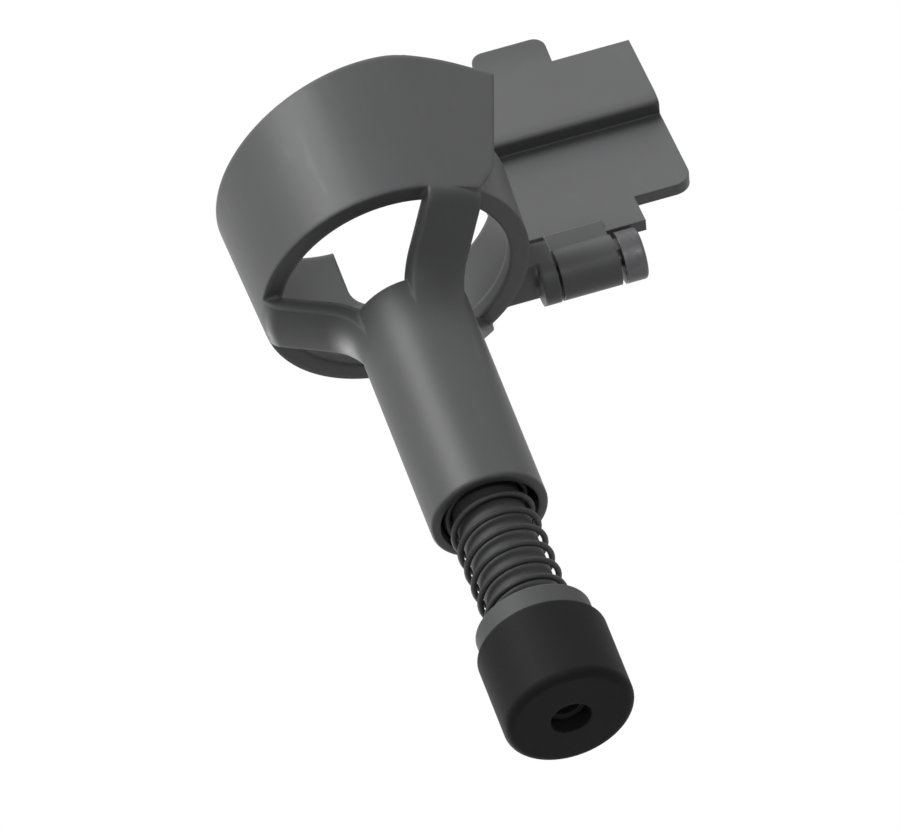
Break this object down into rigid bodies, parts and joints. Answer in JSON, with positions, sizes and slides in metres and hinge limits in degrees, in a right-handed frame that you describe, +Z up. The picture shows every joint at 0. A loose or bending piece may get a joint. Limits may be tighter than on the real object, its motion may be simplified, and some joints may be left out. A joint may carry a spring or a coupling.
{
  "type": "spring_landing_leg",
  "caption": "Clip-on landing leg: an open cup on three curved struts over a tube, a hinged snap latch at the side, and a coil-sprung plunger with a rubber foot",
  "frame": {"origin": "on the cup's axis, at the lower end of the cup's bore", "axes": "+Z up along the cup and tube, +X along the arm that the leg clips to, +Y towards the latch hinge"},
  "size_m": [0.0504, 0.0303, 0.0976],
  "materials": {
    "housing_plastic": "satin moulded",
    "latch_plastic": "satin moulded",
    "pin_steel": "plain drawn wire",
    "spring_steel": "black oxide",
    "plunger_plastic": "satin moulded",
    "foot_rubber": "matte"
  },
  "bodies": {
    "leg": {"leg_housing": "housing_plastic", "hinge_pin": "pin_steel", "damping_spring": "spring_steel"},
    "latch_body": {"latch": "latch_plastic"},
    "foot_body": {"plunger": "plunger_plastic", "foot_cap": "foot_rubber"}
  },
  "joints": [
    {"name": "latch_hinge", "type": "hinge", "parent": "leg", "child": "latch_body", "pos_m": [0.021, 0.009, 0.0007], "axis": [-1, 0, 0], "range_deg": [0, 90]},
    {"name": "plunger_slide", "type": "slide", "parent": "leg", "child": "foot_body", "axis": [0, 0, 1], "range_m": [0, 0.0148], "stiffness_N_per_m": 200, "springref_m": -0.002, "deforming": ["damping_spring"]}
  ]
}
